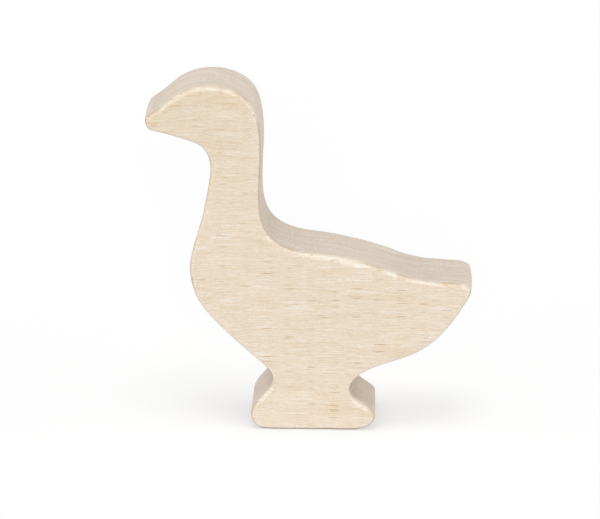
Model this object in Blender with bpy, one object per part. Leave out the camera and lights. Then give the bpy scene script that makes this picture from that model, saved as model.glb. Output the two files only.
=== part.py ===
"""Goose figurine, sawn from one beech board and sanded by hand.

The goose looks along -X, its flat faces look along -Y and +Y, and it stands on
the sole of its foot block, with the origin at the middle of the sole.

The outline is a closed chain of smooth curves in the XZ plane. Each knot of the
chain has a place, the heading of the curve there, and the radius to which the
board's edge is eased there. The outline is then lofted through the board's
thickness, with its two rims rounded over, and with a few flats where the
sandpaper took the edge off in one straight stroke.
"""

import math
from collections import namedtuple

import bmesh
import bpy
import numpy as np

# Board
THICKNESS = 0.0200

# Foot block: reaches are along X from the middle of the sole, heights from the sole
FOOT_LENGTH = 0.0337
FOOT_END_HEIGHT_FORE = 0.0044
FOOT_END_HEIGHT_REAR = 0.0038
SOLE_CURL_FORE = 0.0040
SOLE_CURL_REAR = 0.0070
FOOT_SHOULDER_RISE_FORE = 0.0022
FOOT_SHOULDER_RISE_REAR = 0.0020
FOOT_SHOULDER_SET_FORE = 0.0008
FOOT_SHOULDER_SET_REAR = 0.0010

# Ankle, the narrow place between the foot block and the body
ANKLE_REACH_FORE = 0.0111
ANKLE_REACH_REAR = 0.0103
ANKLE_HEIGHT_FORE = 0.0143
ANKLE_HEIGHT_REAR = 0.0129

# Underside of the body, from the thighs to the tail
THIGH_SPREAD_FORE = 0.0018
THIGH_SPREAD_REAR = 0.0041
THIGH_RISE_FORE = 0.0040
THIGH_RISE_REAR = 0.0043
BELLY_REACH = 0.0285
BELLY_HEIGHT = 0.0338
RUMP_REACH = 0.0271
RUMP_HEIGHT = 0.0223

# Tail
TAIL_REACH = 0.0424
TAIL_HEIGHT = 0.0432
TAIL_LENGTH = 0.0109
TAIL_TIP_DROP = 0.0028
TAIL_CORNER_SET = 0.0034
TAIL_CORNER_DROP = 0.00045
TAIL_UNDERCUT = 0.0030
TAIL_DEPTH = 0.0084

# Back
BACK_REACH = 0.0061
BACK_HEIGHT = 0.0501
SADDLE_REACH = 0.0220
SADDLE_DROP = 0.0046

# Neck: its rear line lies NECK_SET ahead of the middle of the sole
NECK_SET = 0.0143
NECK_WIDTH = 0.0129
NECK_WAIST_HEIGHT = 0.0657
NAPE_SET = 0.0033
NAPE_RISE = 0.0048

# Head and beak, measured from the neck's rear line and down from the crown
HEIGHT = 0.0970
CROWN_SET = 0.0128
HEAD_REAR_SWELL = 0.0006
HEAD_REAR_DROP = 0.0080
HEAD_LENGTH = 0.0300
BEAK_TIP_DROP = 0.0094
FOREHEAD_SET = 0.0066
FOREHEAD_RISE = 0.0056
BROW_SET = 0.0014
BROW_RISE = 0.0015
BEAK_UNDER_SET = 0.0019
BEAK_UNDER_DROP = 0.0031
CHIN_SET = 0.0038
CHIN_DROP = 0.0158
THROAT_DROP = 0.0233

# Breast
BREAST_REACH = 0.03295
BREAST_HEIGHT = 0.0465
NECK_FORE_REACH = 0.0301
NECK_FORE_HEIGHT = 0.0566

# Radius of the eased rim
EASE_FOOT = 0.0012
EASE_ANKLE = 0.0011
EASE_BELLY = 0.0010
EASE_TAIL = 0.0010
EASE_BACK = 0.0012
EASE_NECK = 0.0009
EASE_HEAD = 0.0013
EASE_BEAK = 0.0011
EASE_BREAST = 0.0013

# Fineness of the mesh
SAMPLE_LENGTH = 0.0013
SAMPLE_TURN = math.radians(9)
RIM_SEGMENTS = 4
SMALLEST_RADIUS_LEFT = 0.0003
RIM_SPREAD = 0.4
STRAIGHT_TURN = 1e-6
WIDEST_RIM_SHARE = 1 / 3
FACET_ANGLE = math.radians(30)

# Beech, in linear colour
BEECH_COLOUR = (0.80, 0.67, 0.51, 1.0)
BEECH_ROUGHNESS = 0.62

Knot = namedtuple("Knot", "name x z heading ease")
Flat = namedtuple("Flat", "knot past length width")


def rear_foot_knots():
    """The rear end of the sole, the foot's rearmost point, and the shoulder above it."""
    end = FOOT_LENGTH / 2
    shoulder_x = end - FOOT_SHOULDER_SET_REAR
    shoulder_z = FOOT_END_HEIGHT_REAR + FOOT_SHOULDER_RISE_REAR
    return [
        Knot("sole_rear", end - SOLE_CURL_REAR, 0.0, 0, EASE_FOOT),
        Knot("foot_rear", end, FOOT_END_HEIGHT_REAR, 84, EASE_FOOT),
        Knot("shoulder_rear", shoulder_x, shoulder_z, 139, EASE_FOOT),
    ]


def fore_foot_knots():
    """The shoulder, the foremost point and the sole's end at the fore end of the foot."""
    end = -FOOT_LENGTH / 2
    shoulder_x = end + FOOT_SHOULDER_SET_FORE
    shoulder_z = FOOT_END_HEIGHT_FORE + FOOT_SHOULDER_RISE_FORE
    return [
        Knot("shoulder_fore", shoulder_x, shoulder_z, 243, EASE_FOOT),
        Knot("foot_fore", end, FOOT_END_HEIGHT_FORE, 266, EASE_FOOT),
        Knot("sole_fore", end + SOLE_CURL_FORE, 0.0, 0, EASE_FOOT),
    ]


def underside_knots():
    """From the rear ankle along the rump to the tip of the tail."""
    thigh_x = ANKLE_REACH_REAR + THIGH_SPREAD_REAR
    thigh_z = ANKLE_HEIGHT_REAR + THIGH_RISE_REAR
    return [
        Knot("ankle_rear", ANKLE_REACH_REAR, ANKLE_HEIGHT_REAR, 68, EASE_ANKLE),
        Knot("thigh_rear", thigh_x, thigh_z, 28, EASE_BELLY),
        Knot("rump", RUMP_REACH, RUMP_HEIGHT, 26, EASE_BELLY),
        Knot("tail_under", TAIL_REACH - TAIL_UNDERCUT, TAIL_HEIGHT - TAIL_DEPTH, 59, EASE_BELLY),
        Knot("tail_tip", TAIL_REACH, TAIL_HEIGHT - TAIL_TIP_DROP, 74, EASE_TAIL),
    ]


def back_knots():
    """From the top of the tail over the back and up the nape to the neck's waist."""
    return [
        Knot("tail_top", TAIL_REACH - TAIL_CORNER_SET, TAIL_HEIGHT - TAIL_CORNER_DROP, 179, EASE_TAIL),
        Knot("tail_root", TAIL_REACH - TAIL_LENGTH, TAIL_HEIGHT, 174, EASE_TAIL),
        Knot("saddle", SADDLE_REACH, BACK_HEIGHT - SADDLE_DROP, 159, EASE_BACK),
        Knot("back", BACK_REACH, BACK_HEIGHT, 170.5, EASE_BACK),
        Knot("nape", NAPE_SET - NECK_SET, BACK_HEIGHT + NAPE_RISE, 136, EASE_NECK),
        Knot("neck_rear", -NECK_SET, NECK_WAIST_HEIGHT, 91, EASE_NECK),
    ]


def head_knots():
    """From the back of the head over the crown, round the beak and under to the throat."""
    tip_x = -NECK_SET - HEAD_LENGTH
    tip_z = HEIGHT - BEAK_TIP_DROP
    throat_x = -NECK_SET - NECK_WIDTH
    return [
        Knot("head_rear", -NECK_SET - HEAD_REAR_SWELL, HEIGHT - HEAD_REAR_DROP, 105, EASE_HEAD),
        Knot("crown", -NECK_SET - CROWN_SET, HEIGHT, 180, EASE_HEAD),
        Knot("forehead", tip_x + FOREHEAD_SET, tip_z + FOREHEAD_RISE, 220, EASE_HEAD),
        Knot("brow", tip_x + BROW_SET, tip_z + BROW_RISE, 210, EASE_BEAK),
        Knot("beak_tip", tip_x, tip_z, 270, EASE_BEAK),
        Knot("beak_under", tip_x + BEAK_UNDER_SET, tip_z - BEAK_UNDER_DROP, 348, EASE_BEAK),
        Knot("chin", throat_x - CHIN_SET, HEIGHT - CHIN_DROP, 338, EASE_NECK),
        Knot("throat", throat_x, HEIGHT - THROAT_DROP, 266, EASE_NECK),
    ]


def breast_knots():
    """From the front of the neck over the breast and along the belly to the fore ankle."""
    thigh_x = -ANKLE_REACH_FORE - THIGH_SPREAD_FORE
    thigh_z = ANKLE_HEIGHT_FORE + THIGH_RISE_FORE
    return [
        Knot("neck_fore", -NECK_FORE_REACH, NECK_FORE_HEIGHT, 262, EASE_NECK),
        Knot("breast", -BREAST_REACH, BREAST_HEIGHT, 266.5, EASE_BREAST),
        Knot("belly", -BELLY_REACH, BELLY_HEIGHT, 309, EASE_BELLY),
        Knot("thigh_fore", thigh_x, thigh_z, 316, EASE_BELLY),
        Knot("ankle_fore", -ANKLE_REACH_FORE, ANKLE_HEIGHT_FORE, 262, EASE_ANKLE),
    ]


def outline_knots():
    """All knots, anticlockwise as seen from -Y, starting where the sole ends to the rear."""
    rear_side = rear_foot_knots() + underside_knots() + back_knots()
    fore_side = head_knots() + breast_knots() + fore_foot_knots()
    return rear_side + fore_side


# Sanding flats, each centred a distance past its knot along the outline
FRONT_FLATS = [
    Flat("shoulder_rear", 0.0036, 0.0076, 0.0015),
    Flat("tail_tip", 0.0020, 0.0046, 0.0013),
    Flat("tail_root", 0.0012, 0.0100, 0.0011),
    Flat("saddle", 0.0010, 0.0040, 0.0010),
    Flat("back", -0.0038, 0.0086, 0.0018),
    Flat("back", 0.0015, 0.0190, 0.0014),
    Flat("nape", 0.0010, 0.0034, 0.0011),
    Flat("head_rear", 0.0015, 0.0070, 0.0012),
    Flat("crown", -0.0053, 0.0038, 0.0014),
    Flat("crown", 0.0015, 0.0102, 0.0014),
    Flat("crown", 0.0085, 0.0046, 0.0014),
    Flat("forehead", 0.0019, 0.0058, 0.0012),
    Flat("breast", 0.0010, 0.0150, 0.0014),
    Flat("ankle_fore", 0.0044, 0.0066, 0.0014),
]
BACK_FLATS = [
    Flat("shoulder_rear", 0.0030, 0.0080, 0.0014),
    Flat("tail_under", -0.0060, 0.0120, 0.0013),
    Flat("tail_tip", 0.0012, 0.0064, 0.0018),
    Flat("tail_root", 0.0045, 0.0090, 0.0012),
    Flat("back", -0.0050, 0.0160, 0.0015),
    Flat("neck_rear", 0.0090, 0.0120, 0.0012),
    Flat("crown", -0.0020, 0.0110, 0.0015),
    Flat("crown", 0.0100, 0.0080, 0.0013),
    Flat("breast", 0.0040, 0.0130, 0.0014),
    Flat("ankle_fore", 0.0040, 0.0070, 0.0014),
]


def handle_length(leaving, arriving, chord):
    """Length of a Bezier handle that makes the roundest curve between two headings (Hobby)."""
    sines = (math.sin(leaving) - math.sin(arriving) / 16) * (math.sin(arriving) - math.sin(leaving) / 16)
    swing = math.sqrt(2) * sines * (math.cos(leaving) - math.cos(arriving))
    root = math.sqrt(5)
    spread = 1 + (root - 1) / 2 * math.cos(leaving) + (3 - root) / 2 * math.cos(arriving)
    return (2 + swing) / spread * chord / 3


def direction(angle):
    """Unit vector at an angle from +X, turning towards +Z."""
    return np.array((math.cos(angle), math.sin(angle)))


def signed_turn(angle):
    """The same angle between -180 and 180 degrees, in radians."""
    return (angle + math.pi) % (2 * math.pi) - math.pi


def curve_between(start, end):
    """Points and rim radii from one knot up to, and without, the next."""
    p_start = np.array((start.x, start.z))
    p_end = np.array((end.x, end.z))
    chord_vector = p_end - p_start
    chord = float(np.hypot(*chord_vector))
    chord_angle = math.atan2(chord_vector[1], chord_vector[0])
    start_heading = math.radians(start.heading)
    end_heading = math.radians(end.heading)
    leaving = signed_turn(start_heading - chord_angle)
    arriving = signed_turn(chord_angle - end_heading)
    start_handle = handle_length(leaving, arriving, chord) * direction(start_heading)
    end_handle = handle_length(arriving, leaving, chord) * direction(end_heading)
    turn = abs(leaving) + abs(arriving)
    count = max(2, math.ceil(chord / SAMPLE_LENGTH), math.ceil(turn / SAMPLE_TURN))
    t = np.linspace(0, 1, count, endpoint=False)[:, None]
    points = (
        (1 - t) ** 3 * p_start
        + 3 * (1 - t) ** 2 * t * (p_start + start_handle)
        + 3 * (1 - t) * t ** 2 * (p_end - end_handle)
        + t ** 3 * p_end
    )
    blend = (t * t * (3 - 2 * t))[:, 0]
    return points, start.ease + (end.ease - start.ease) * blend


def sample_outline(knots):
    """The whole outline as points, rim radii, and the index of each knot by its name."""
    points = []
    eases = []
    places = {}
    for start, end in zip(knots, knots[1:] + knots[:1]):
        places[start.name] = sum(len(run) for run in points)
        run, radii = curve_between(start, end)
        points.append(run)
        eases.append(radii)
    return np.vstack(points), np.concatenate(eases), places


def outward_normals(points):
    """Unit normals of an anticlockwise outline, pointing away from the wood."""
    along = np.roll(points, -1, axis=0) - np.roll(points, 1, axis=0)
    along /= np.linalg.norm(along, axis=1)[:, None]
    return np.column_stack((along[:, 1], -along[:, 0]))


def convex_radii(points):
    """Radius of the outline at each point, and infinity where it is straight or hollow."""
    before = points - np.roll(points, 1, axis=0)
    after = np.roll(points, -1, axis=0) - points
    cross = before[:, 0] * after[:, 1] - before[:, 1] * after[:, 0]
    dot = (before * after).sum(axis=1)
    turn = np.arctan2(cross, dot)
    length = (np.linalg.norm(before, axis=1) + np.linalg.norm(after, axis=1)) / 2
    radii = np.full(len(points), np.inf)
    bulging = turn > STRAIGHT_TURN
    radii[bulging] = length[bulging] / turn[bulging]
    return radii


def rim_shape(points, eases, places, flats):
    """Width of one rim at each point, and how flat it is there, from 0 round to 1 flat.

    Beside a sharp corner of the outline the rim is narrow, and widens away from it by RIM_SPREAD.
    """
    steps = np.linalg.norm(np.roll(points, -1, axis=0) - points, axis=1)
    along = np.concatenate(((0.0,), np.cumsum(steps)[:-1]))
    total = steps.sum()
    width = eases.copy()
    flatness = np.zeros(len(points))
    for flat in flats:
        centre = along[places[flat.knot]] + flat.past
        distance = np.abs((along - centre + total / 2) % total - total / 2)
        stroke = np.clip(1 - (2 * distance / flat.length) ** 2, 0, 1)
        width = width + (np.maximum(flat.width, width) - width) * stroke
        flatness = np.maximum(flatness, np.sqrt(stroke))
    room = np.maximum(convex_radii(points) - SMALLEST_RADIUS_LEFT, SMALLEST_RADIUS_LEFT)
    apart = np.abs((along[:, None] - along + total / 2) % total - total / 2)
    room = (room + RIM_SPREAD * apart).min(axis=1)
    return np.minimum(np.minimum(width, room), THICKNESS * WIDEST_RIM_SHARE), flatness


def rim_loops(points, normals, shape, face_side):
    """The loops of one rounded rim, from the wall to the flat face."""
    width, flatness = shape
    loops = []
    for step in range(RIM_SEGMENTS + 1):
        share = step / RIM_SEGMENTS
        angle = share * math.pi / 2
        inset = width * ((1 - math.cos(angle)) * (1 - flatness) + share * flatness)
        rise = width * (math.sin(angle) * (1 - flatness) + share * flatness)
        place = points - normals * inset[:, None]
        depth = face_side * (THICKNESS / 2 - width + rise)
        loops.append(np.column_stack((place[:, 0], depth, place[:, 1])))
    return loops


def loft_goose():
    """The closed body: two flat faces, two eased rims, and the sawn wall between them."""
    points, eases, places = sample_outline(outline_knots())
    normals = outward_normals(points)
    front = rim_loops(points, normals, rim_shape(points, eases, places, FRONT_FLATS), -1)
    back = rim_loops(points, normals, rim_shape(points, eases, places, BACK_FLATS), 1)
    body = bmesh.new()
    rows = [[body.verts.new(corner) for corner in loop] for loop in front[::-1] + back]
    for near, far in zip(rows, rows[1:]):
        for i in range(len(near)):
            j = (i + 1) % len(near)
            body.faces.new((near[i], near[j], far[j], far[i]))
    body.faces.new(rows[0])
    body.faces.new(rows[-1])
    bmesh.ops.recalc_face_normals(body, faces=body.faces)
    bmesh.ops.triangulate(body, faces=[face for face in body.faces if len(face.verts) > 4])
    return body


def beech():
    """Plain pale beech, sanded and left bare."""
    material = bpy.data.materials.new("beech")
    material.use_nodes = True
    shader = material.node_tree.nodes["Principled BSDF"]
    shader.inputs["Base Color"].default_value = BEECH_COLOUR
    shader.inputs["Roughness"].default_value = BEECH_ROUGHNESS
    shader.inputs["Metallic"].default_value = 0.0
    return material


def build():
    """Clear the scene and model the goose in it."""
    for old in list(bpy.data.objects):
        bpy.data.objects.remove(old, do_unlink=True)
    mesh = bpy.data.meshes.new("goose")
    body = loft_goose()
    body.to_mesh(mesh)
    body.free()
    mesh.materials.append(beech())
    mesh.shade_smooth()
    mesh.set_sharp_from_angle(angle=FACET_ANGLE)
    goose = bpy.data.objects.new("goose", mesh)
    bpy.context.scene.collection.objects.link(goose)


build()
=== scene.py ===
"""Looks of the beech goose: the sawn board with its hand-sanded rims, its grain, and the studio round it.

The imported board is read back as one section: the points of its outline, and the width and the flatness of
both rims at each point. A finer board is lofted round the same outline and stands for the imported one. It adds
the places where the sawn wall leans and the small unevenness that sanding by hand leaves. Its wood is one
solid pattern, so rings, rays and pores run through the faces, the sawn walls and the rims as they do in a
real board.
"""

import math
from collections import namedtuple

import bmesh
import bpy
import numpy as np
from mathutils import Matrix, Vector, noise
from mathutils.geometry import delaunay_2d_cdt

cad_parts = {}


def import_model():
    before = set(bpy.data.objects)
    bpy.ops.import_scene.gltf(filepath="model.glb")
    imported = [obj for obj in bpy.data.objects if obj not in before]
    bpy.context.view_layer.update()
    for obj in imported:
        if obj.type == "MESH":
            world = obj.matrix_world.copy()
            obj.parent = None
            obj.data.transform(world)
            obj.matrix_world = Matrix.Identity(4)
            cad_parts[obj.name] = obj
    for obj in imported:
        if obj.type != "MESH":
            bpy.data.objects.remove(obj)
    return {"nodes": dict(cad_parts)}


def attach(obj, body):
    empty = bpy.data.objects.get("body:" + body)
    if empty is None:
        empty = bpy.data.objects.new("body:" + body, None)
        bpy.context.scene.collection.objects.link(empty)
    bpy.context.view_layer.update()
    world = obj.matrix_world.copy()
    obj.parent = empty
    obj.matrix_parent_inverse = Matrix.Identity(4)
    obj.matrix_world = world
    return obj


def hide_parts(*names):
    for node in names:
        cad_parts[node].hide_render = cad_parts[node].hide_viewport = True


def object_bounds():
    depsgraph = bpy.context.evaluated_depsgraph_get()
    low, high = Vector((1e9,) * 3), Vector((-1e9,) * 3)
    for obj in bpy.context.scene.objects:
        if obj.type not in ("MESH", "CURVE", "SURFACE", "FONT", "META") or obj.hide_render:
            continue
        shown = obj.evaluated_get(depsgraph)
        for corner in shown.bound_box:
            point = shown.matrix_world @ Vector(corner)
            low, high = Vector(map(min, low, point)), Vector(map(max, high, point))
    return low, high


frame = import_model()

MM = 0.001

# The photograph's camera
FOCAL_PIXELS = 2746.1
IMAGE_WIDTH = 600
SENSOR_WIDTH = 36.0
CAMERA_PLACE = (0.01884, -0.69673, 0.29939)
CAMERA_ELEVATION = math.radians(20)
CAMERA_HEADING = math.radians(1.862)
CAMERA_NEAR = 10 * MM

# Light: a level of 1 shows a colour as it is written on a surface that faces the light
Light = namedtuple("Light", "name elevation bearing spread level")
LIGHTS = (
    Light("key", 20, 0, 16, 0.275),
    Light("top", 80, 0, 24, 0.27),
    Light("fill_left", 25, -75, 50, 0.17),
    Light("fill_right", 25, 75, 50, 0.14),
)
LIGHT_DISTANCE = 1.0
HORIZON_LEVEL = 0.80
ZENITH_LEVEL = 0.25
BACKDROP_LEVEL = 1.0
WHITE = (1.0, 1.0, 1.0, 1.0)

# The floor, and its two soft shades under the foot: how far each reaches, and the light left at its darkest
FLOOR_RADIUS = 3.0
FLOOR_SEGMENTS = 96
FLOOR_COLOUR = (0.80, 0.80, 0.80, 1.0)
FLOOR_SEEN_COLOUR = (0.40, 0.40, 0.40, 1.0)
FLOOR_SEEN_GLOW = 0.636
SHADES = ((0.3 * MM, 0.25), (14 * MM, 0.64))
SHADE_SAMPLES = 16

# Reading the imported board: corners this near are one, a wall face is this square, and heights are rounded
WELD = 1e-6
WALL_TILT = 0.01
MICRON_DIGITS = 6

# Half-way along a packed rim: how far a round one and a flat one have climbed, and the room for error
ROUND_CLIMB = math.sin(math.pi / 4)
FLAT_CLIMB = 0.5
CLIMB_BAND = 0.14

# The finer board: its pitch along the outline, its rows across each rim and the wall, and the rows that carry
# each rim into its face
FINE_STEP = 0.34 * MM
RIM_ROWS = 8
WALL_ROWS = 22
SUPPORT_INSETS = (0.08 * MM, 0.25 * MM)

# How the outline turns: the places each way that it is measured over, and the radius of a full hollow
TURN_SPAN = 2
HOLLOW_RADIUS = 6 * MM

# The room for a rim where the outline bulges: the most, what stays free, and how fast it widens beside that
WIDEST_ROOM = 20 * MM
ROOM_LEFT = 0.1 * MM
RIM_SPREAD = 0.4

# The net of triangles that closes each face
FACE_PITCH = 1.5 * MM
FACE_ROW_PITCH = FACE_PITCH * math.sqrt(3) / 2
FACE_CLEARANCE = 0.9 * MM
NET_INSIDE_ONLY = 1
NET_TOLERANCE = 1e-7

# Places where the sawn wall isn't square to the faces: a point of the outline, the length along the outline
# over which it fades, and how far the front edge, the middle and the back edge of the wall stand out there
Lean = namedtuple("Lean", "x z reach front middle back")
TAIL_LEAN = Lean(42.4 * MM, 41.3 * MM, 3.1 * MM, -0.19 * MM, 0.33 * MM, -0.09 * MM)
BEAK_LEAN = Lean(-44.3 * MM, 88.2 * MM, 4.0 * MM, -0.10 * MM, 0.18 * MM, -0.21 * MM)
THROAT_LEAN = Lean(-30.6 * MM, 54.6 * MM, 4.2 * MM, 0.72 * MM, 0.22 * MM, -0.27 * MM)
BREAST_LEAN = Lean(-31.9 * MM, 50.7 * MM, 4.9 * MM, 0.17 * MM, -0.22 * MM, -0.62 * MM)
NECK_LEAN = Lean(-13.3 * MM, 70.0 * MM, 14.0 * MM, 0.0, 0.05 * MM, 0.11 * MM)
LEANS = (TAIL_LEAN, BEAK_LEAN, THROAT_LEAN, BREAST_LEAN, NECK_LEAN)
TAIL_STROKES = 5

# Unevenness left by sanding: how much, over what length, and where in the noise it is taken from. The two
# rims take theirs from places this far out on their own sides, so that they differ.
Sway = namedtuple("Sway", "amount run seed")
RIM_WIDTH_SWAY = Sway(0.14, 3.5 * MM, 3.7)
RIM_FLAT_SWAY = Sway(0.3, 5.0 * MM, 11.3)
WALL_DIP = Sway(0.05 * MM, 7.0 * MM, 5.1)
FACE_DIP = Sway(0.05 * MM, 16.0 * MM, 8.9)
RIMS_APART = 16.0 * MM

Section = namedtuple("Section", "points normals widths flatnesses")
SIDES = (-1, 1)


def packed_board(node):
    """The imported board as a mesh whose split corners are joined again."""
    board = bmesh.new()
    board.from_mesh(node.data)
    bmesh.ops.remove_doubles(board, verts=board.verts, dist=WELD)
    board.normal_update()
    return board


def wall_corners(board, side):
    """The corners of the sawn wall that lie on one side of the board."""
    wall = [face for face in board.faces if abs(face.normal.y) < WALL_TILT]
    return {corner for face in wall for corner in face.verts if corner.co.y * side > 0}


def wall_loop(board):
    """The corners along the front edge of the sawn wall, in order round the outline."""
    front = wall_corners(board, -1)
    neighbours = {corner: [] for corner in front}
    for edge in board.edges:
        if edge.verts[0] in front and edge.verts[1] in front:
            neighbours[edge.verts[0]].append(edge.verts[1])
            neighbours[edge.verts[1]].append(edge.verts[0])
    first = min(front, key=lambda corner: (round(corner.co.z, MICRON_DIGITS), corner.co.x))
    here = max(neighbours[first], key=lambda corner: corner.co.x)
    loop = [first]
    while here is not first:
        loop.append(here)
        here = next(corner for corner in neighbours[here] if corner not in loop[-2:])
    return loop


def outward(points):
    """Unit normals of the closed outline, which point out of the wood."""
    along = np.roll(points, -1, axis=0) - np.roll(points, 1, axis=0)
    along /= np.linalg.norm(along, axis=1)[:, None]
    return np.column_stack((along[:, 1], -along[:, 0]))


def nearest(places, others):
    """For each place in the XZ plane, which of the others lies nearest to it."""
    return np.hypot(places[:, :1] - others[:, 0], places[:, 1:] - others[:, 1]).argmin(axis=1)


def read_section(board, half):
    """Outline points, outward normals, and each rim's width and flatness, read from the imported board.

    Half-way up its rise, a round rim has climbed further from the wall than a flat one of the same width.
    """
    points = np.array([(corner.co.x, corner.co.z) for corner in wall_loop(board)])
    corners = np.array([tuple(corner.co) for corner in board.verts])
    widths = []
    flatnesses = []
    for side in SIDES:
        own = corners[corners[:, 1] * side > 0]
        seen = own[:, (0, 2)]
        depth = half - np.abs(own[:, 1])
        edge = np.array([tuple(corner.co) for corner in wall_corners(board, side)])
        width = half - np.abs(edge[nearest(points, edge[:, (0, 2)]), 1])
        climb = 1 - depth / width[nearest(seen, points)]
        middle = np.abs(climb - (ROUND_CLIMB + FLAT_CLIMB) / 2) < CLIMB_BAND
        beside = climb[middle][nearest(points, seen[middle])]
        widths.append(width)
        flatnesses.append((ROUND_CLIMB - beside) / (ROUND_CLIMB - FLAT_CLIMB))
    return Section(points, outward(points), np.transpose(widths), np.clip(np.transpose(flatnesses), 0, 1))


def stations(points):
    """Distance along the closed outline at which each point lies, and the whole length."""
    steps = np.linalg.norm(np.roll(points, -1, axis=0) - points, axis=1)
    return np.concatenate(((0.0,), np.cumsum(steps)[:-1])), steps.sum()


def apart(one, other, total):
    """The shorter way between stations round a closed outline of the given length."""
    return np.abs((one - other + total / 2) % total - total / 2)


def carried(values, at, total, places):
    """Values at their stations round a closed outline, carried smoothly to other places."""
    gap = np.append(np.diff(at), total - at[-1])[:, None]
    slope = (np.roll(values, -1, axis=0) - values) / gap
    gap_before = np.roll(gap, 1, axis=0)
    tangent = (np.roll(slope, 1, axis=0) * gap_before + slope * gap) / (gap + gap_before)
    i = np.searchsorted(at, places, side="right") - 1
    j = (i + 1) % len(at)
    t = (places - at[i])[:, None] / gap[i]
    return (
        values[i] * (1 + 2 * t) * (1 - t) ** 2
        + tangent[i] * gap[i] * t * (1 - t) ** 2
        + values[j] * t * t * (3 - 2 * t)
        + tangent[j] * gap[i] * t * t * (t - 1)
    )


def refined(section):
    """The same section with places every FINE_STEP, and with the tail's corner rubbed."""
    at, total = stations(section.points)
    places = np.arange(round(total / FINE_STEP)) * (total / round(total / FINE_STEP))
    points = rubbed(carried(section.points, at, total, places))
    widths = carried(section.widths, at, total, places)
    flatnesses = carried(section.flatnesses, at, total, places)
    return Section(points, outward(points), widths, np.clip(flatnesses, 0, 1))


def nearness(points, lean):
    """How strongly a lean is felt at each point of the outline: 1 at its place, fading over its reach."""
    at, total = stations(points)
    middle = np.hypot(points[:, 0] - lean.x, points[:, 1] - lean.z).argmin()
    return np.exp(-(apart(at, at[middle], total) / lean.reach) ** 2)


def rubbed(points):
    """The outline with the tail's corner rubbed rounder by a few strokes of sandpaper."""
    smooth = points
    for _ in range(TAIL_STROKES):
        smooth = (np.roll(smooth, 1, axis=0) + np.roll(smooth, -1, axis=0)) / 4 + smooth / 2
    return points + nearness(points, TAIL_LEAN)[:, None] * (smooth - points)


def leaning(section, depth, half):
    """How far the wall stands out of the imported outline, at each point of the section and its own depth."""
    share = depth / half
    standing = np.zeros(len(share))
    for lean in LEANS:
        slope = (lean.back - lean.front) / 2
        bend = (lean.back + lean.front) / 2 - lean.middle
        stands = lean.middle + slope * share + bend * share * share
        standing += nearness(section.points, lean) * stands
    return standing


def swayed(place, sway):
    """Smooth unevenness at a place, up to the sway's amount either way."""
    shift = Vector((sway.seed, -sway.seed, 2 * sway.seed))
    return sway.amount * noise.noise(Vector(place) / sway.run + shift)


def turning(points):
    """How sharply the closed outline turns at each point, per metre: below 0 where it is hollow."""
    ahead = np.roll(points, -TURN_SPAN, axis=0) - points
    behind = points - np.roll(points, TURN_SPAN, axis=0)
    cross = behind[:, 0] * ahead[:, 1] - behind[:, 1] * ahead[:, 0]
    return np.arctan2(cross, (ahead * behind).sum(axis=1)) / (TURN_SPAN * FINE_STEP)


def sanded(section):
    """The section with the rims' widths and flats as uneven as a hand leaves them.

    Where the outline bulges tightly, and for a stretch on both sides of that, a rim is kept narrow enough
    for its rows not to cross.
    """
    widths = section.widths.copy()
    flatnesses = section.flatnesses.copy()
    for i, (x, z) in enumerate(section.points):
        for k, side in enumerate(SIDES):
            place = (x, side * RIMS_APART, z)
            widths[i, k] *= 1 + swayed(place, RIM_WIDTH_SWAY)
            flatnesses[i, k] += max(0.0, swayed(place, RIM_FLAT_SWAY))
    room = 1 / np.maximum(turning(section.points), 1 / WIDEST_ROOM) - SUPPORT_INSETS[-1] - ROOM_LEFT
    at, total = stations(section.points)
    room = (room + RIM_SPREAD * apart(at[:, None], at, total)).min(axis=1)
    widths = np.minimum(widths, room[:, None])
    return section._replace(widths=widths, flatnesses=np.clip(flatnesses, 0, 1))


def rim_rows(section, k, half):
    """Rows of one rim from the wall to the face, and then the face's support rows.

    A row holds its inset from the outline, its depth in the board, and its shares of rim and of wall.
    """
    side = SIDES[k]
    width = section.widths[:, k]
    flatness = section.flatnesses[:, k]
    rows = []
    for step in range(RIM_ROWS + 1):
        share = step / RIM_ROWS
        angle = share * math.pi / 2
        inset = width * ((1 - math.cos(angle)) * (1 - flatness) + share * flatness)
        rise = width * (math.sin(angle) * (1 - flatness) + share * flatness)
        rows.append((inset, side * (half - width + rise), math.sin(math.pi * share), 1 - share))
    for extra in SUPPORT_INSETS:
        rows.append((width + extra, np.full(len(width), side * half), 0.0, 0.0))
    return rows


def wall_rows(section, half):
    """Rows across the sawn wall between the two rims."""
    front = section.widths[:, 0] - half
    back = half - section.widths[:, 1]
    shares = np.arange(1, WALL_ROWS) / WALL_ROWS
    return [(np.zeros(len(front)), front + (back - front) * share, 0.0, 1.0) for share in shares]


def inside(outline, x, z):
    """Whether a place lies inside a closed outline."""
    ahead = np.roll(outline, -1, axis=0)
    crosses = (outline[:, 1] > z) != (ahead[:, 1] > z)
    start = outline[crosses]
    end = ahead[crosses]
    meets = start[:, 0] + (z - start[:, 1]) / (end[:, 1] - start[:, 1]) * (end[:, 0] - start[:, 0])
    return np.count_nonzero(meets > x) % 2 == 1


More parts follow.
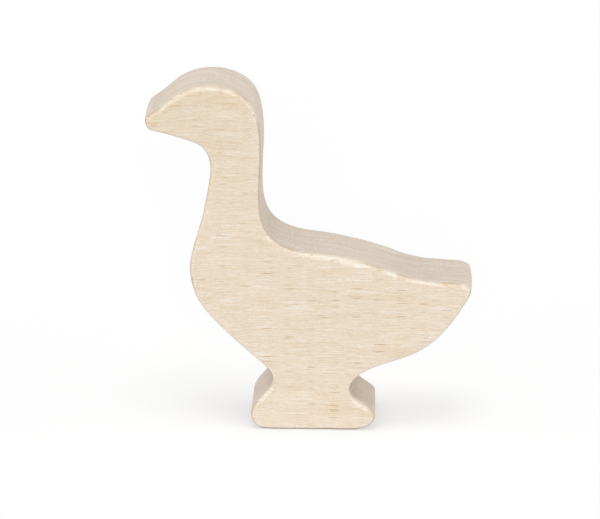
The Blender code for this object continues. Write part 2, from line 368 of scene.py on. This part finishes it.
def fill_face(board, rim, half, side):
    """Close one flat face with a fine net of triangles whose border is the last row of its rim."""
    border = [Vector((corner.co.x, corner.co.z)) for corner in rim]
    count = len(border)
    edges = [(i, (i + 1) % count) for i in range(count)]
    outline = np.array([tuple(point) for point in border])
    low = outline.min(axis=0)
    high = outline.max(axis=0)
    inner = []
    for row, z in enumerate(np.arange(low[1], high[1], FACE_ROW_PITCH)):
        for x in np.arange(low[0] + (row % 2) * FACE_PITCH / 2, high[0], FACE_PITCH):
            clearance = np.hypot(outline[:, 0] - x, outline[:, 1] - z).min()
            if clearance > FACE_CLEARANCE and inside(outline, x, z):
                inner.append(Vector((x, z)))
    net = delaunay_2d_cdt(border + inner, edges, [], NET_INSIDE_ONLY, NET_TOLERANCE)
    corners = list(rim)
    for point in net[0][count:]:
        corners.append(board.verts.new((point.x, side * half, point.y)))
    for triangle in net[2]:
        board.faces.new([corners[i] for i in triangle])


def loft_board(section, half):
    """The fine board as a mesh, with how far each corner lies on a rim, a flat, the wall and in a hollow."""
    front = rim_rows(section, 0, half)
    back = rim_rows(section, 1, half)
    rows = front[::-1] + wall_rows(section, half) + back
    board = bmesh.new()
    on_rim = board.verts.layers.float.new("rim")
    on_wall = board.verts.layers.float.new("wall")
    on_flat = board.verts.layers.float.new("flat")
    in_hollow = board.verts.layers.float.new("hollow")
    hollows = np.clip(-turning(section.points) * HOLLOW_RADIUS, 0, 1)
    loops = []
    for inset, depth, rim_share, wall_share in rows:
        out = leaning(section, depth, half) - inset
        places = section.points + section.normals * out[:, None]
        loop = []
        outline = zip(places, depth, section.normals, section.flatnesses, hollows)
        for (x, z), y, normal, flatness, hollow in outline:
            dip = wall_share * abs(swayed((x, y, z), WALL_DIP))
            corner = board.verts.new((x - normal[0] * dip, y, z - normal[1] * dip))
            corner[on_rim] = rim_share
            corner[on_wall] = wall_share
            corner[on_flat] = flatness[0 if y < 0 else 1]
            corner[in_hollow] = hollow
            loop.append(corner)
        loops.append(loop)
    for near, far in zip(loops, loops[1:]):
        for i in range(len(near)):
            j = (i + 1) % len(near)
            board.faces.new((near[i], near[j], far[j], far[i]))
    fill_face(board, loops[0], half, -1)
    fill_face(board, loops[-1], half, 1)
    for corner in board.verts:
        dip = (1 - corner[on_wall]) * abs(swayed(corner.co, FACE_DIP))
        corner.co.y -= math.copysign(dip, corner.co.y)
    bmesh.ops.recalc_face_normals(board, faces=board.faces)
    return board


def goose_board(node):
    """The finished wooden goose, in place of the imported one."""
    packed = packed_board(node)
    half = max(corner.co.y for corner in packed.verts)
    section = sanded(refined(read_section(packed, half)))
    packed.free()
    board = loft_board(section, half)
    mesh = bpy.data.meshes.new("goose_board")
    board.to_mesh(mesh)
    board.free()
    mesh.shade_smooth()
    piece = bpy.data.objects.new("goose_board", mesh)
    bpy.context.scene.collection.objects.link(piece)
    return piece


class Tree:
    """A node tree with one short call for each kind of node that the materials use."""

    def __init__(self, tree):
        self.tree = tree

    def node(self, kind, **settings):
        """A new node with its settings."""
        made = self.tree.nodes.new(kind)
        for name, value in settings.items():
            setattr(made, name, value)
        return made

    def feed(self, socket, value):
        """Link an input to an output, or set it to a constant."""
        if isinstance(value, bpy.types.NodeSocket):
            self.tree.links.new(value, socket)
        else:
            socket.default_value = value

    def maths(self, operation, *values, clamp=False):
        """The result of one Math node."""
        made = self.node("ShaderNodeMath", operation=operation, use_clamp=clamp)
        for socket, value in zip(made.inputs, values):
            self.feed(socket, value)
        return made.outputs[0]

    def product(self, first, *others):
        """All the numbers multiplied together."""
        result = first
        for other in others:
            result = self.maths("MULTIPLY", result, other)
        return result

    def at_least(self, share, least):
        """A share from 0 to 1, squeezed so that it starts at the least."""
        return self.maths("MULTIPLY_ADD", share, 1 - least, least)

    def lessened(self, share, loss):
        """What is left of 1 where the share takes a loss off it."""
        return self.maths("MULTIPLY_ADD", share, -loss, 1.0)

    def vector(self, operation, *values):
        """The result of one Vector Math node."""
        made = self.node("ShaderNodeVectorMath", operation=operation)
        for socket, value in zip(made.inputs, values):
            self.feed(socket, value)
        return made.outputs["Value" if operation == "DOT_PRODUCT" else "Vector"]

    def parts(self, vector):
        """The X, Y and Z of a vector."""
        made = self.node("ShaderNodeSeparateXYZ")
        self.feed(made.inputs[0], vector)
        return made.outputs

    def joined(self, *numbers):
        """A vector made of its X, Y and Z."""
        made = self.node("ShaderNodeCombineXYZ")
        for socket, value in zip(made.inputs, numbers):
            self.feed(socket, value)
        return made.outputs[0]

    def attribute(self, name):
        """A number that the mesh carries at its corners."""
        return self.node("ShaderNodeAttribute", attribute_name=name).outputs["Fac"]

    def noise(self, point, size, detail, roughness=0.5):
        """Solid noise with blobs of a size along each axis."""
        made = self.node("ShaderNodeTexNoise", noise_dimensions="3D")
        self.feed(made.inputs["Vector"], self.vector("DIVIDE", point, size))
        self.feed(made.inputs["Scale"], 1.0)
        self.feed(made.inputs["Detail"], detail)
        self.feed(made.inputs["Roughness"], roughness)
        return made.outputs["Fac"]

    def cells(self, point, size):
        """Distance from the middle of the nearest cell of a size along each axis, and the cell's own lot."""
        made = self.node("ShaderNodeTexVoronoi", voronoi_dimensions="3D", feature="F1")
        self.feed(made.inputs["Vector"], self.vector("DIVIDE", point, size))
        self.feed(made.inputs["Scale"], 1.0)
        lots = self.node("ShaderNodeSeparateColor")
        self.feed(lots.inputs[0], made.outputs["Color"])
        return made.outputs["Distance"], lots.outputs[0]

    def step(self, value, low, high, start=0.0, end=1.0):
        """A smooth step from the start to the end while the value goes from low to high."""
        made = self.node("ShaderNodeMapRange", interpolation_type="SMOOTHSTEP")
        for name, number in (("From Min", low), ("From Max", high), ("To Min", start), ("To Max", end)):
            self.feed(made.inputs[name], number)
        self.feed(made.inputs["Value"], value)
        return made.outputs["Result"]

    def pattern(self, point, pattern):
        """How far a place lies in the marks of a pattern."""
        blobs = self.noise(point, pattern.size, pattern.detail, pattern.roughness)
        return self.step(blobs, pattern.low, pattern.high)

    def mixed(self, first, second, share, blend="MIX"):
        """Two colours mixed by a share of the second."""
        made = self.node("ShaderNodeMix", data_type="RGBA", blend_type=blend, clamp_factor=True)
        colours = [socket for socket in made.inputs if socket.type == "RGBA"]
        self.feed(made.inputs[0], share)
        self.feed(colours[0], first)
        self.feed(colours[1], second)
        return next(socket for socket in made.outputs if socket.type == "RGBA")


# Beech in linear colours: the bare face and the sawn wall, the worn places with their painted highlight, and
# then the tints over them, among them painted shade towards the head, in the hollows and along rims that face
# down
FACE_COLOUR = (0.909, 0.885, 0.884, 1.0)
WALL_COLOUR = (0.858, 0.822, 0.812, 1.0)
WORN_HIGHLIGHT_COLOUR = (0.935, 0.935, 0.925, 1.0)
RIM_TINT = (0.965, 0.95, 0.93, 1.0)
HEAD_SHADE_TINT = (0.965, 0.95, 0.915, 1.0)
MOTTLE_TINT = (0.985, 0.96, 0.93, 1.0)
RING_TINT = (0.985, 0.972, 0.95, 1.0)
LAYER_TINT = (0.90, 0.865, 0.82, 1.0)
FIBRE_TINT = (0.905, 0.82, 0.67, 1.0)
STRAND_TINT = (0.935, 0.87, 0.76, 1.0)
FLECK_TINT = (0.93, 0.87, 0.77, 1.0)
RAY_TINT = (0.71, 0.55, 0.38, 1.0)
END_GRAIN_TINT = (0.86, 0.84, 0.82, 1.0)
HOLLOW_SHADE_TINT = (0.76, 0.74, 0.72, 1.0)
EDGE_LINE_AND_SHADE_TINT = (0.62, 0.49, 0.36, 1.0)
TORN_TINT = (0.80, 0.64, 0.47, 1.0)

# The wood's marks, in millimetres along the grain, through the board and up the board: the size of the blobs
# of a solid noise, how much finer noise lies over them, and the values at which a mark starts and is full
Pattern = namedtuple("Pattern", "size detail low high roughness", defaults=(0.5,))
LAYER = Pattern((15.0, 0.62, 15.0), 2.0, 0.35, 0.65, roughness=0.6)
FIBRE = Pattern((9.0, 0.40, 0.12), 1.0, 0.36, 0.64)
STRAND = Pattern((1.3, 0.30, 0.10), 1.0, 0.36, 0.64)
FLECK = Pattern((0.40, 0.25, 0.11), 1.0, 0.36, 0.64)
SPECK = Pattern((0.7, 0.45, 0.45), 1.0, 0.42, 0.58)
MOTTLE = Pattern((24.0, 9.0, 7.0), 2.0, 0.30, 0.70)
PORE = Pattern((1.6, 0.22, 0.20), 1.0, 0.55, 0.75)
TORN = Pattern((1.5, 0.8, 0.35), 2.0, 0.62, 0.70)

# The rays' dashes: the size of the cell that each lies in, how far from the cell's middle it starts and is
# full, and the cell's lot with which it starts to show and is full
Dash = namedtuple("Dash", "size distances lots")
SHORT_RAY = Dash((3.4, 1.5, 0.30), (0.44, 0.14), (0.35, 1.0))
LONG_RAY = Dash((6.0, 3.0, 0.42), (0.36, 0.14), (0.86, 0.96))
SHORT_RAY_SHARE = 0.40

# The growth rings, which lie tilted in the board and wave, and the grain, which wanders up and down
RING_TILT = math.radians(19)
RING_SPACING = 1.45
RING_RISE = (0.2, 0.9)
RING_FALL = (1.0, 0.9)
RING_WAVE_SIZE = (18.0, 30.0, 9.0)
RING_WAVE_DETAIL = 2.0
RING_WAVE = 1.2
WANDER_SIZE = (22.0, 14.0, 10.0)
WANDER_DETAIL = 1.0
WANDER = 1.3
NOISE_MIDDLE = 0.5

# The heights between which the painted shade on the face towards the head starts and is full
HEAD_SHADE_HEIGHTS = (62.0, 95.0)

# Bands of the turn from the face, at 0, to the sawn wall, at 1: where each starts and is full
WALL_BAND = (0.70, 0.95)
EDGE_RISE = (0.45, 0.75)
EDGE_FALL = (1.0, 0.9)
GLINT_RISE = (0.02, 0.14)
GLINT_FALL = (0.55, 0.35)

# How the marks differ from one surface to another: a band of the normal's Z, and then shares. The band makes
# the painted shade of the edge's dark line and the painted glint strongest on rims that face down
UNDERNEATH = (0.35, -0.35)
EDGE_ON_TOP = 0.40
EDGE_LOST_ON_FLATS = 0.5
GLINT_ON_TOP = 0.05
LAYER_ON_FACE = 0.25
STREAKS_ON_WALL = 0.5
STREAKS_LOST_BY_WEAR_AND_HIGHLIGHT = 0.6
END_GRAIN_POWER = 2.0
END_GRAIN_SHARE = 0.5
HOLLOW_BETWEEN_SPECKS = 0.4

# Roughness and pits
BEECH_ROUGHNESS = 0.55
FIBRE_ROUGHNESS = 0.10
STRAND_PIT = 0.5
PIT_STRENGTH = 0.20
PIT_DEPTH = 0.03 * MM

Surface = namedtuple("Surface", "face wall rim rounded worn edge hollow end_grain")
Wood = namedtuple("Wood", "ring layer short_ray long_ray fibre strand fleck speck mottle pore torn")


def wandering(tree, place):
    """Places as the grain sees them: moved up and down, so that its lines wander."""
    wander = tree.maths("SUBTRACT", tree.noise(place, WANDER_SIZE, WANDER_DETAIL), NOISE_MIDDLE)
    return tree.vector("ADD", place, tree.joined(0.0, 0.0, tree.product(wander, 2 * WANDER)))


def surface_shares(tree, normal):
    """How far each place is face, wall, rim, round, worn with a painted highlight, edge line with painted
    shade, hollow with painted shade, and end grain.
    """
    turned = tree.attribute("wall")
    rim = tree.attribute("rim")
    flatness = tree.attribute("flat")
    flat = tree.product(rim, flatness)
    wall = tree.step(turned, *WALL_BAND)
    underneath = tree.step(normal["Z"], *UNDERNEATH)
    # The edge's dark line: partly the wood's own line at the rim, partly painted shade that is strongest where
    # the rim faces down
    edge = tree.product(
        tree.step(turned, *EDGE_RISE),
        tree.step(turned, *EDGE_FALL),
        tree.at_least(underneath, EDGE_ON_TOP),
        tree.lessened(flatness, EDGE_LOST_ON_FLATS),
    )
    glint = tree.product(
        tree.step(turned, *GLINT_RISE),
        tree.step(turned, *GLINT_FALL),
        tree.at_least(underneath, GLINT_ON_TOP),
    )
    ends = tree.maths("POWER", tree.maths("ABSOLUTE", normal["X"]), END_GRAIN_POWER)
    return Surface(
        face=tree.maths("SUBTRACT", 1.0, wall),
        wall=wall,
        rim=rim,
        rounded=tree.maths("SUBTRACT", rim, flat),
        # Painted highlight on the flats and along the glint, partly the paler fresh wood of the sanded flats
        worn=tree.maths("MAXIMUM", flat, glint),
        edge=edge,
        # Painted shade in the hollows of the sawn wall
        hollow=tree.product(tree.attribute("hollow"), wall),
        end_grain=tree.product(ends, wall),
    )


def ring_layers(tree, grain):
    """Growth rings, from 0 in early wood to 1 in late wood, and the finer layers that run with them."""
    across = tree.vector("DOT_PRODUCT", grain, (0.0, math.cos(RING_TILT), math.sin(RING_TILT)))
    wave = tree.product(tree.noise(grain, RING_WAVE_SIZE, RING_WAVE_DETAIL), 2 * RING_WAVE)
    bent = tree.maths("ADD", across, wave)
    late = tree.maths("FRACT", tree.maths("DIVIDE", bent, RING_SPACING))
    ring = tree.product(tree.step(late, *RING_RISE), tree.step(late, *RING_FALL))
    along = tree.parts(grain)
    return ring, tree.pattern(tree.joined(along["X"], bent, along["Z"]), LAYER)


def dashes(tree, grain, dash):
    """The short dark dashes where rays meet the face."""
    distance, lot = tree.cells(grain, dash.size)
    return tree.product(tree.step(distance, *dash.distances), tree.step(lot, *dash.lots))


def wood_marks(tree, place, grain):
    """All that is drawn in the wood, along the grain or, for flecks and specks, where they lie."""
    ring, layer = ring_layers(tree, grain)
    return Wood(
        ring=ring,
        layer=layer,
        short_ray=dashes(tree, grain, SHORT_RAY),
        long_ray=dashes(tree, grain, LONG_RAY),
        fibre=tree.pattern(grain, FIBRE),
        strand=tree.pattern(grain, STRAND),
        fleck=tree.pattern(place, FLECK),
        speck=tree.pattern(place, SPECK),
        mottle=tree.pattern(grain, MOTTLE),
        pore=tree.pattern(grain, PORE),
        torn=tree.pattern(grain, TORN),
    )


def beech_colour(tree, grain, surface, wood):
    """The colour of the bare wood with all its tints, painted highlight and painted shade among them."""
    near_head = tree.step(tree.parts(grain)["Z"], *HEAD_SHADE_HEIGHTS)
    streaks = tree.product(
        tree.at_least(surface.face, STREAKS_ON_WALL),
        tree.lessened(surface.worn, STREAKS_LOST_BY_WEAR_AND_HIGHLIGHT),
    )
    colour = tree.mixed(FACE_COLOUR, WALL_COLOUR, surface.wall)
    # Painted highlight: the flats and the glint along the rims are made paler, partly for the fresh wood of the
    # flats
    colour = tree.mixed(colour, WORN_HIGHLIGHT_COLOUR, surface.worn)
    tints = (
        (RIM_TINT, surface.rounded),
        # Painted shade: the face is darker towards the head
        (HEAD_SHADE_TINT, tree.product(near_head, surface.face)),
        (MOTTLE_TINT, wood.mottle),
        (RING_TINT, wood.ring),
        (LAYER_TINT, tree.product(wood.layer, tree.at_least(surface.wall, LAYER_ON_FACE))),
        (FIBRE_TINT, tree.product(wood.fibre, streaks)),
        (STRAND_TINT, tree.product(wood.strand, streaks)),
        (FLECK_TINT, wood.fleck),
        (RAY_TINT, tree.product(wood.short_ray, surface.face, SHORT_RAY_SHARE)),
        (RAY_TINT, tree.product(wood.long_ray, surface.face)),
        (END_GRAIN_TINT, tree.product(surface.end_grain, wood.speck, END_GRAIN_SHARE)),
        # Painted shade in the hollows, broken by the specks of rough wood
        (HOLLOW_SHADE_TINT, tree.product(surface.hollow, tree.at_least(wood.speck, HOLLOW_BETWEEN_SPECKS))),
        # The edge's dark line, partly painted shade under the rims
        (EDGE_LINE_AND_SHADE_TINT, surface.edge),
        (TORN_TINT, tree.product(wood.torn, surface.rim)),
    )
    for tint, share in tints:
        colour = tree.mixed(colour, tint, share, "MULTIPLY")
    return colour


def pitted(tree, wood):
    """Normals of the wood with its pores, rays and coarse strands sunk a little."""
    pits = tree.maths("ADD", tree.product(wood.strand, STRAND_PIT), wood.pore)
    bump = tree.node("ShaderNodeBump", invert=True)
    tree.feed(bump.inputs["Height"], tree.maths("ADD", pits, wood.long_ray))
    tree.feed(bump.inputs["Strength"], PIT_STRENGTH)
    tree.feed(bump.inputs["Distance"], PIT_DEPTH)
    return bump.outputs["Normal"]


def beech():
    """Pale beech, sanded and left bare."""
    material = bpy.data.materials.new("beech_wood")
    material.use_nodes = True
    tree = Tree(material.node_tree)
    coordinates = tree.node("ShaderNodeTexCoord")
    place = tree.vector("DIVIDE", coordinates.outputs["Object"], (MM, MM, MM))
    grain = wandering(tree, place)
    surface = surface_shares(tree, tree.parts(coordinates.outputs["Normal"]))
    wood = wood_marks(tree, place, grain)
    roughness = tree.maths("MULTIPLY_ADD", wood.fibre, FIBRE_ROUGHNESS, BEECH_ROUGHNESS)
    shader = material.node_tree.nodes["Principled BSDF"]
    tree.feed(shader.inputs["Base Color"], beech_colour(tree, grain, surface, wood))
    tree.feed(shader.inputs["Roughness"], roughness)
    tree.feed(shader.inputs["Normal"], pitted(tree, wood))
    return material


def seen_directly(tree):
    """One for rays from the camera or from a reflection, and nothing for those that light the object."""
    path = tree.node("ShaderNodeLightPath")
    seen = tree.maths("ADD", path.outputs["Is Camera Ray"], path.outputs["Is Glossy Ray"])
    return tree.maths("ADD", seen, path.outputs["Is Transmission Ray"], clamp=True)


def chosen(tree, unseen, seen):
    """One shader for the light on the object, and another for what the camera sees."""
    choice = tree.node("ShaderNodeMixShader")
    tree.feed(choice.inputs[0], seen_directly(tree))
    tree.feed(choice.inputs[1], unseen)
    tree.feed(choice.inputs[2], seen)
    return choice.outputs[0]


def floor_white():
    """White that lights the object as a pale floor does, and shows as white with the object's soft shades."""
    material = bpy.data.materials.new("floor_white")
    material.use_nodes = True
    material.node_tree.nodes.clear()
    tree = Tree(material.node_tree)
    plain = tree.node("ShaderNodeBsdfDiffuse")
    tree.feed(plain.inputs["Color"], FLOOR_COLOUR)
    shaded = tree.node("ShaderNodeBsdfDiffuse")
    tree.feed(shaded.inputs["Color"], FLOOR_SEEN_COLOUR)
    strength = FLOOR_SEEN_GLOW
    for reach, least in SHADES:
        opening = tree.node("ShaderNodeAmbientOcclusion", samples=SHADE_SAMPLES)
        tree.feed(opening.inputs["Distance"], reach)
        strength = tree.product(strength, tree.at_least(opening.outputs["AO"], least))
    glow = tree.node("ShaderNodeEmission")
    tree.feed(glow.inputs["Strength"], strength)
    seen = tree.node("ShaderNodeAddShader")
    tree.feed(seen.inputs[0], shaded.outputs[0])
    tree.feed(seen.inputs[1], glow.outputs[0])
    output = tree.node("ShaderNodeOutputMaterial")
    tree.feed(output.inputs["Surface"], chosen(tree, plain.outputs[0], seen.outputs[0]))
    return material


def floor():
    """A plain white floor that keeps the soft shadow."""
    disc = bmesh.new()
    bmesh.ops.create_circle(disc, cap_ends=True, segments=FLOOR_SEGMENTS, radius=FLOOR_RADIUS)
    mesh = bpy.data.meshes.new("floor")
    disc.to_mesh(mesh)
    disc.free()
    mesh.materials.append(floor_white())
    piece = bpy.data.objects.new("floor", mesh)
    bpy.context.scene.collection.objects.link(piece)
    return piece


def world():
    """Soft light from all round, strongest from the sides, in front of a white backdrop."""
    studio = bpy.data.worlds.new("studio")
    studio.use_nodes = True
    studio.node_tree.nodes.clear()
    bpy.context.scene.world = studio
    tree = Tree(studio.node_tree)
    height = tree.parts(tree.node("ShaderNodeTexCoord").outputs["Generated"])["Z"]
    light = tree.node("ShaderNodeBackground")
    tree.feed(light.inputs["Color"], WHITE)
    tree.feed(light.inputs["Strength"], tree.step(height, 0.0, 1.0, HORIZON_LEVEL, ZENITH_LEVEL))
    backdrop = tree.node("ShaderNodeBackground")
    tree.feed(backdrop.inputs["Color"], WHITE)
    tree.feed(backdrop.inputs["Strength"], BACKDROP_LEVEL)
    output = tree.node("ShaderNodeOutputWorld")
    tree.feed(output.inputs["Surface"], chosen(tree, light.outputs[0], backdrop.outputs[0]))


def soft_light(light, target):
    """A distant soft light, by its height over the floor and its bearing from the camera's side."""
    lamp = bpy.data.lights.new(light.name, "SUN")
    lamp.angle = math.radians(light.spread)
    lamp.energy = light.level * math.pi
    bearing = math.radians(light.bearing) + CAMERA_HEADING
    elevation = math.radians(light.elevation)
    away = Vector((
        math.sin(bearing) * math.cos(elevation),
        -math.cos(bearing) * math.cos(elevation),
        math.sin(elevation),
    ))
    stand = bpy.data.objects.new(light.name, lamp)
    stand.location = target + away * LIGHT_DISTANCE
    stand.rotation_euler = (-away).to_track_quat("-Z", "Y").to_euler()
    bpy.context.scene.collection.objects.link(stand)


def camera():
    """The photograph's view."""
    lens = bpy.data.cameras.new("camera")
    lens.sensor_width = SENSOR_WIDTH
    lens.lens = FOCAL_PIXELS * SENSOR_WIDTH / IMAGE_WIDTH
    lens.clip_start = CAMERA_NEAR
    view = bpy.data.objects.new("camera", lens)
    view.location = CAMERA_PLACE
    view.rotation_euler = (math.pi / 2 - CAMERA_ELEVATION, 0.0, CAMERA_HEADING)
    bpy.context.scene.collection.objects.link(view)
    bpy.context.scene.camera = view


cad_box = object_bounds()
bpy.context.scene.view_settings.view_transform = "Standard"

goose = goose_board(frame["nodes"]["goose"])
goose.data.materials.append(beech())
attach(goose, "root")
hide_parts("goose")

floor()
world()
for soft in LIGHTS:
    soft_light(soft, (cad_box[0] + cad_box[1]) / 2)
camera()
